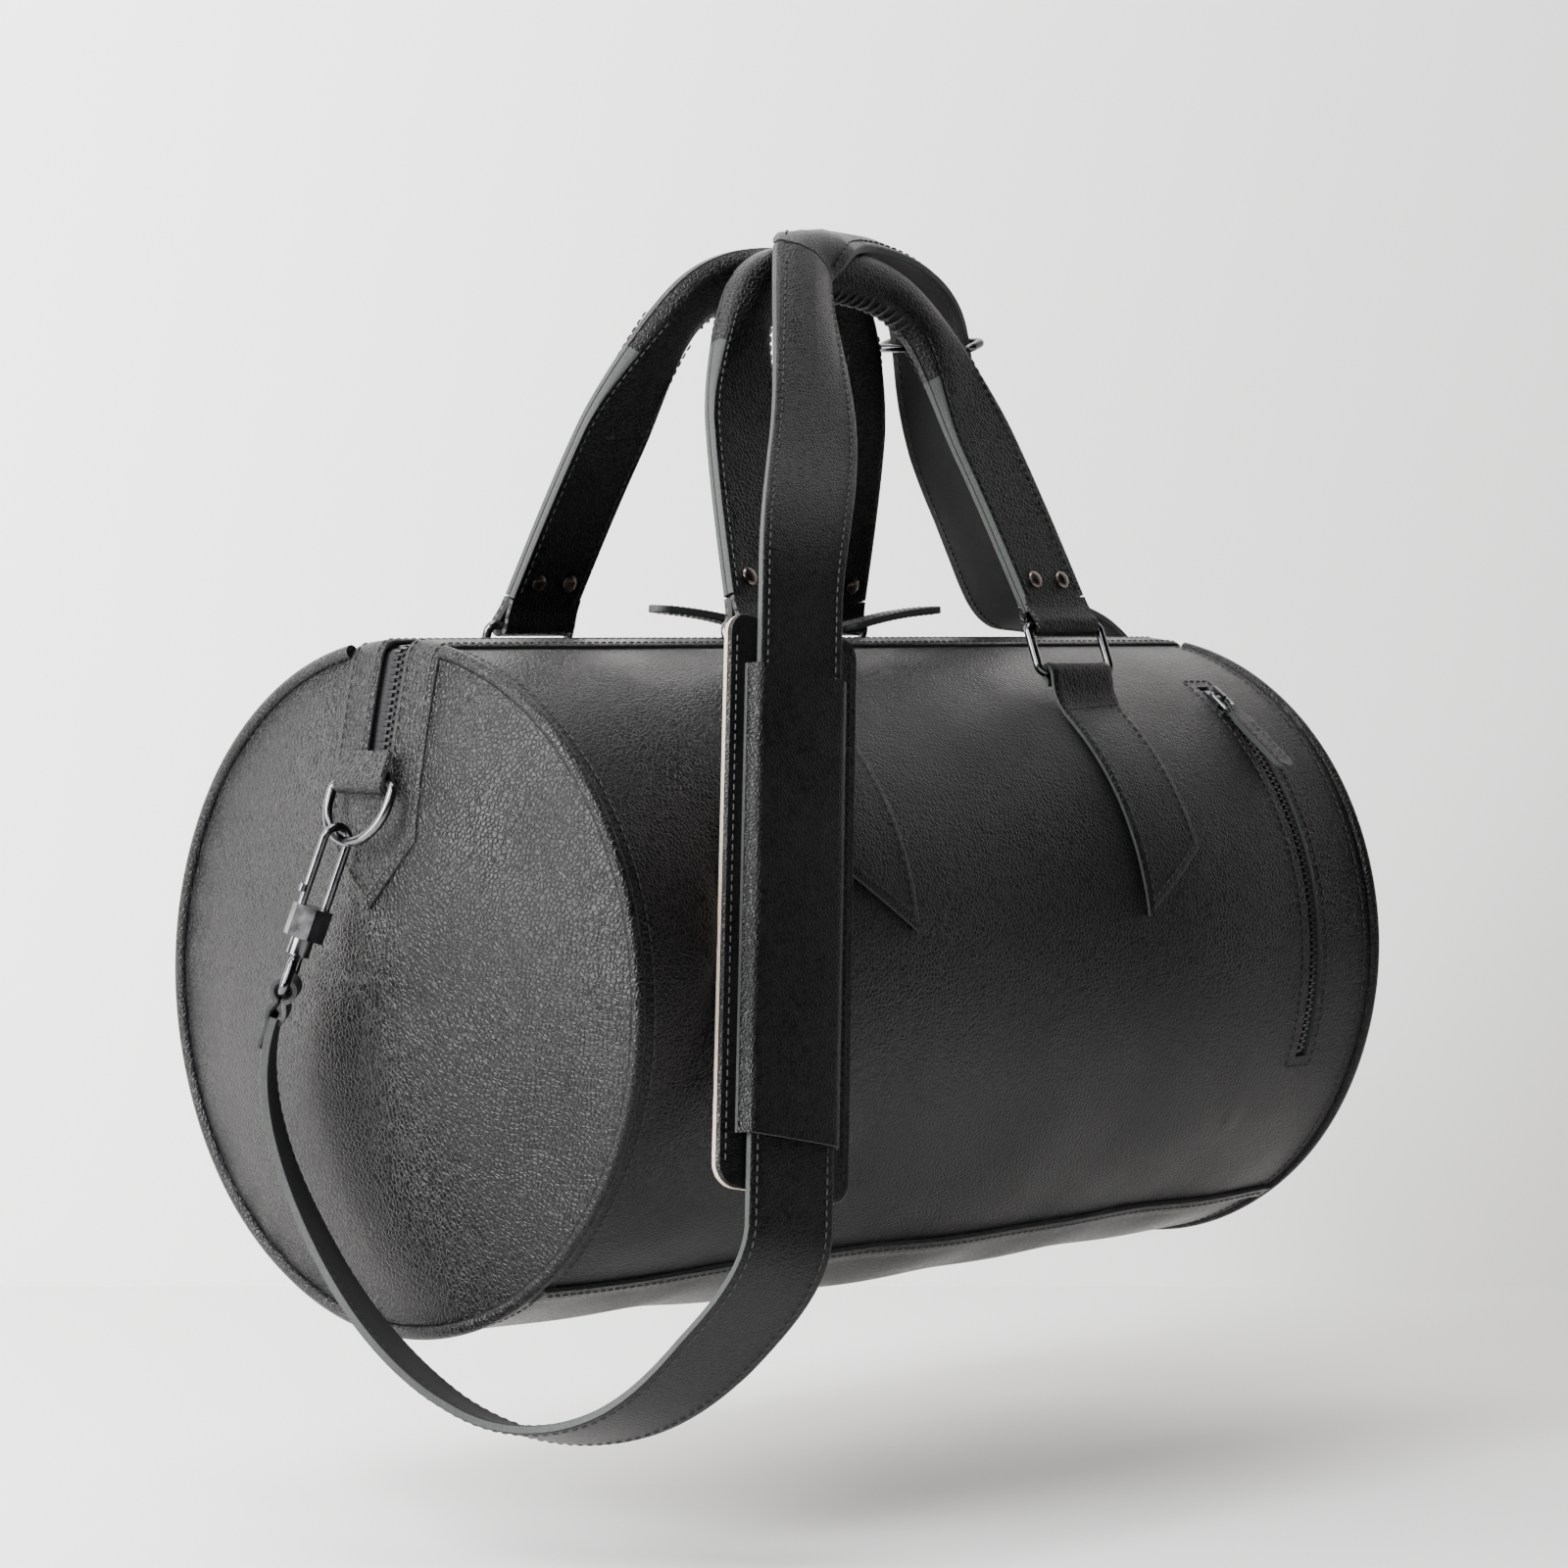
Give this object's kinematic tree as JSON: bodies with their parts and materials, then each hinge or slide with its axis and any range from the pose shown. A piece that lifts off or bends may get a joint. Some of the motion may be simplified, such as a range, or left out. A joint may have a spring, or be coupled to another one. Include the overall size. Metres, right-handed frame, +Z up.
{
  "type": "barrel duffel bag",
  "caption": "Leather barrel bag with zip top, twin carrying handles, outside zip pocket and a detachable padded shoulder strap, shown hanging by its handles.",
  "frame": {"origin": "the middle of the carrying hand's grip, between the two handles' tops", "axes": "+Z up, +X along the barrel away from the end seen in front, -Y the front with the outside pocket zip"},
  "size_m": [0.5931, 0.3176, 0.4971],
  "materials": {
    "black_leather": "pebbled satin",
    "strap_leather": "smooth satin",
    "pad_leather": "matte, pale raw edge",
    "black_nickel": "polished black nickel",
    "zip_tape": "matte woven",
    "zip_teeth": "satin coil",
    "lining_cloth": "matte woven",
    "board": "matte sheet",
    "thread": "waxed thread"
  },
  "bodies": {
    "bag": {"front_panel": "black_leather", "rear_panel": "black_leather", "base_panel": "black_leather", "end_panel_left": "black_leather", "end_panel_right": "black_leather", "piping_left": "black_leather", "piping_right": "black_leather", "zip_surround": "black_leather", "patch_front_left": "black_leather", "patch_front_right": "black_leather", "patch_rear_left": "black_leather", "patch_rear_right": "black_leather", "d_loop_left": "black_leather", "d_loop_right": "black_leather", "strap_long": "strap_leather", "strap_short": "strap_leather", "hook_eye_left": "black_nickel", "hook_eye_right": "black_nickel", "adjuster": "black_nickel", "zip_tape_front": "zip_tape", "zip_tape_rear": "zip_tape", "pocket_tape": "zip_tape", "zip_teeth": "zip_teeth", "pocket_teeth": "zip_teeth", "lining": "lining_cloth", "pocket_bag": "lining_cloth", "inner_pocket": "lining_cloth", "base_board": "board"},
    "front_handle": {"handle_front": "black_leather", "lacing_front": "thread", "rivets_front": "black_nickel", "ring_front_left": "black_nickel", "ring_front_right": "black_nickel"},
    "rear_handle": {"handle_rear": "black_leather", "lacing_rear": "thread", "rivets_rear": "black_nickel", "ring_rear_left": "black_nickel", "ring_rear_right": "black_nickel"},
    "left_slider": {"main_slider_left": "black_nickel"},
    "right_slider": {"main_slider_right": "black_nickel"},
    "left_pull": {"main_link_left": "black_nickel", "main_pull_left": "black_leather"},
    "right_pull": {"main_link_right": "black_nickel", "main_pull_right": "black_leather"},
    "pocket_slider": {"pocket_slider": "black_nickel"},
    "pocket_pull": {"pocket_link": "black_nickel", "pocket_pull": "black_leather"},
    "left_d_ring": {"d_ring_left": "black_nickel"},
    "right_d_ring": {"d_ring_right": "black_nickel"},
    "left_hook": {"hook_frame_left": "black_nickel"},
    "right_hook": {"hook_frame_right": "black_nickel"},
    "left_gate": {"hook_gate_left": "black_nickel"},
    "right_gate": {"hook_gate_right": "black_nickel"},
    "shoulder_pad": {"pad_backing": "pad_leather", "pad_sleeve": "strap_leather"}
  },
  "joints": [
    {"name": "front_handle_fold", "type": "hinge", "parent": "bag", "child": "front_handle", "pos_m": [0, -0.0779, -0.17234], "axis": [1, 0, 0], "range_deg": [0, 50], "deforming": ["strap_long", "strap_short"]},
    {"name": "rear_handle_fold", "type": "hinge", "parent": "bag", "child": "rear_handle", "pos_m": [0, 0.0779, -0.17234], "axis": [-1, 0, 0], "range_deg": [0, 120]},
    {"name": "left_slider_slide", "type": "slide", "parent": "bag", "child": "left_slider", "axis": [-1, 0, 0], "range_m": [0, 0.205]},
    {"name": "right_slider_slide", "type": "slide", "parent": "bag", "child": "right_slider", "axis": [1, 0, 0], "range_m": [0, 0.205]},
    {"name": "left_pull_swing", "type": "hinge", "parent": "left_slider", "child": "left_pull", "pos_m": [-0.0132, 0, -0.1557], "axis": [0, 1, 0], "range_deg": [-7.5, 140]},
    {"name": "right_pull_swing", "type": "hinge", "parent": "right_slider", "child": "right_pull", "pos_m": [0.0132, 0, -0.1557], "axis": [0, -1, 0], "range_deg": [-7.5, 140]},
    {"name": "pocket_slider_travel", "type": "hinge", "parent": "bag", "child": "pocket_slider", "pos_m": [0.188, 0, -0.297], "axis": [1, 0, 0], "range_deg": [0, 68]},
    {"name": "pocket_pull_swing", "type": "hinge", "parent": "pocket_slider", "child": "pocket_pull", "pos_m": [0.188, -0.08172, -0.18283], "axis": [-1, 0, 0], "range_deg": [0, 120]},
    {"name": "left_d_ring_swing", "type": "hinge", "parent": "bag", "child": "left_d_ring", "pos_m": [-0.2502, 0, -0.215], "axis": [0, 1, 0], "range_deg": [-2, 2]},
    {"name": "right_d_ring_swing", "type": "hinge", "parent": "bag", "child": "right_d_ring", "pos_m": [0.2502, 0, -0.215], "axis": [0, 1, 0], "range_deg": [-2, 2]},
    {"name": "left_hook_swivel", "type": "hinge", "parent": "bag", "child": "left_hook", "pos_m": [-0.26668, 0.01517, -0.27123], "axis": [-0.2366, 0.2208, -0.9462], "range_deg": [-10, 10]},
    {"name": "right_hook_swivel", "type": "hinge", "parent": "bag", "child": "right_hook", "pos_m": [0.26668, 0.01517, -0.27123], "axis": [0.2366, 0.2208, -0.9462], "range_deg": [-10, 10]},
    {"name": "left_gate_open", "type": "slide", "parent": "left_hook", "child": "left_gate", "axis": [-0.2366, 0.2208, -0.9462], "range_m": [0, 0.0038], "stiffness_N_per_m": 150, "springref_m": -0.002},
    {"name": "right_gate_open", "type": "slide", "parent": "right_hook", "child": "right_gate", "axis": [0.2366, 0.2208, -0.9462], "range_m": [0, 0.0038], "stiffness_N_per_m": 150, "springref_m": -0.002},
    {"name": "pad_slide", "type": "slide", "parent": "bag", "child": "shoulder_pad", "axis": [-0.2386, -0.2025, -0.9498], "range_m": [-0.018, 0.018]}
  ]
}
